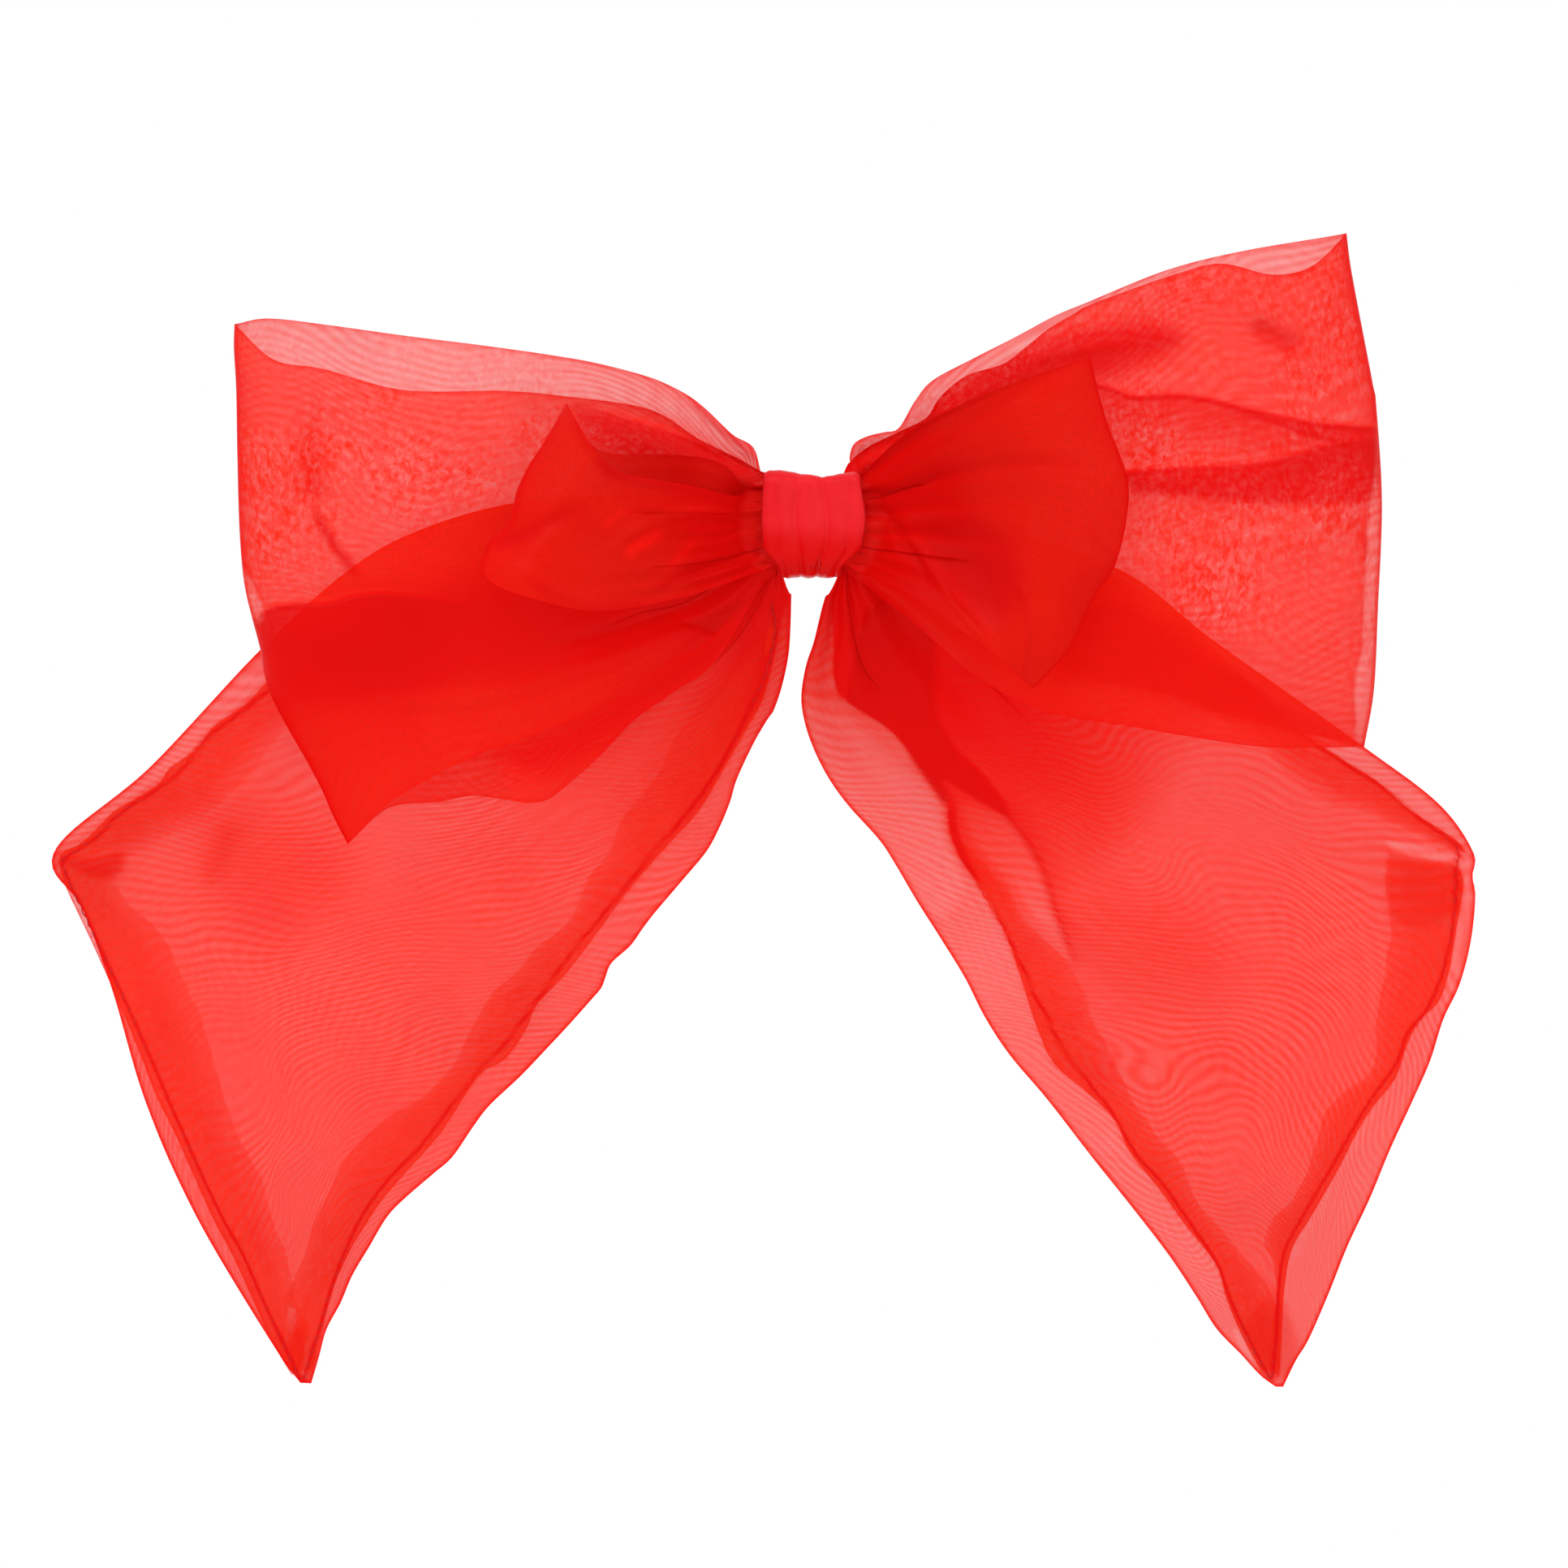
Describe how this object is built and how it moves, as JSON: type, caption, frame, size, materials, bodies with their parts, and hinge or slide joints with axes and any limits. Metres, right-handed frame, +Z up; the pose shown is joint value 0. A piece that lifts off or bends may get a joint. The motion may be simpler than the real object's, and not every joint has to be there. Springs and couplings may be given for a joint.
{
  "type": "hair bow",
  "caption": "Gathered sheer organza bow with large and small loops, pointed sewn tails and a satin knot on a sprung French barrette.",
  "frame": {"origin": "middle of the clasp arm's flat outer face, the face against the head", "axes": "+X along the bow, to the right as seen from the front; +Y out of the back, towards the head; +Z up"},
  "size_m": [0.2478, 0.0538, 0.2015],
  "materials": {
    "organza": "sheer doubled organza, soft sheen",
    "satin": "satin ribbon, lengthwise sheen",
    "thread": "polyester sewing thread",
    "nickel": "nickel plated, satin",
    "spring_steel": "tempered spring steel"
  },
  "bodies": {
    "knot_and_barrette": {"barrette_base_plate": "nickel", "barrette_hinge_pin": "spring_steel", "barrette_latch_rivet": "nickel", "barrette_latch_spring": "spring_steel", "barrette_tension_leaf": "spring_steel", "big_bow_gathered_middle": "organza", "small_bow_gathered_middle": "organza", "tails_gathered_middle": "organza", "binding_thread": "thread", "centre_band": "satin", "centre_band_stitches": "thread"},
    "clasp_arm": {"barrette_clasp_arm": "nickel"},
    "latch_prong_upper": {"barrette_latch_prong_upper": "spring_steel"},
    "latch_prong_lower": {"barrette_latch_prong_lower": "spring_steel"},
    "loops_left": {"big_loop_left": "organza", "small_loop_left": "organza"},
    "loops_right": {"big_loop_right": "organza", "small_loop_right": "organza"},
    "tail_left": {"tail_left_front": "organza", "tail_left_back": "organza", "tail_left_seam_thread": "thread"},
    "tail_right": {"tail_right_front": "organza", "tail_right_back": "organza", "tail_right_seam_thread": "thread"}
  },
  "joints": [
    {"name": "clasp_open", "type": "hinge", "parent": "knot_and_barrette", "child": "clasp_arm", "pos_m": [-0.035, -0.0024, 0], "axis": [0, 0, 1], "range_deg": [0, 75]},
    {"name": "latch_pinch_upper", "type": "hinge", "parent": "knot_and_barrette", "child": "latch_prong_upper", "pos_m": [0.029, -0.0047, 0.00175], "axis": [-1, 0, 0], "range_deg": [0, 12], "stiffness_Nm_per_rad": 0.02},
    {"name": "latch_pinch_lower", "type": "hinge", "parent": "knot_and_barrette", "child": "latch_prong_lower", "pos_m": [0.029, -0.0047, -0.00175], "axis": [1, 0, 0], "range_deg": [0, 12], "stiffness_Nm_per_rad": 0.02},
    {"name": "loops_left_tilt", "type": "hinge", "parent": "knot_and_barrette", "child": "loops_left", "pos_m": [0, -0.023, 0], "axis": [0, 1, 0], "range_deg": [-12, 12], "stiffness_Nm_per_rad": 0.06, "springref_deg": 1.35},
    {"name": "loops_right_tilt", "type": "hinge", "parent": "knot_and_barrette", "child": "loops_right", "pos_m": [0, -0.023, 0], "axis": [0, -1, 0], "range_deg": [-12, 12], "stiffness_Nm_per_rad": 0.06, "springref_deg": 1.51},
    {"name": "tail_left_swing", "type": "hinge", "parent": "knot_and_barrette", "child": "tail_left", "pos_m": [0, -0.016, 0], "axis": [0, 1, 0], "range_deg": [-12, 25], "stiffness_Nm_per_rad": 0.05, "springref_deg": 2.54},
    {"name": "tail_right_swing", "type": "hinge", "parent": "knot_and_barrette", "child": "tail_right", "pos_m": [0, -0.0139, 0], "axis": [0, -1, 0], "range_deg": [-12, 25], "stiffness_Nm_per_rad": 0.05, "springref_deg": 1.98}
  ]
}
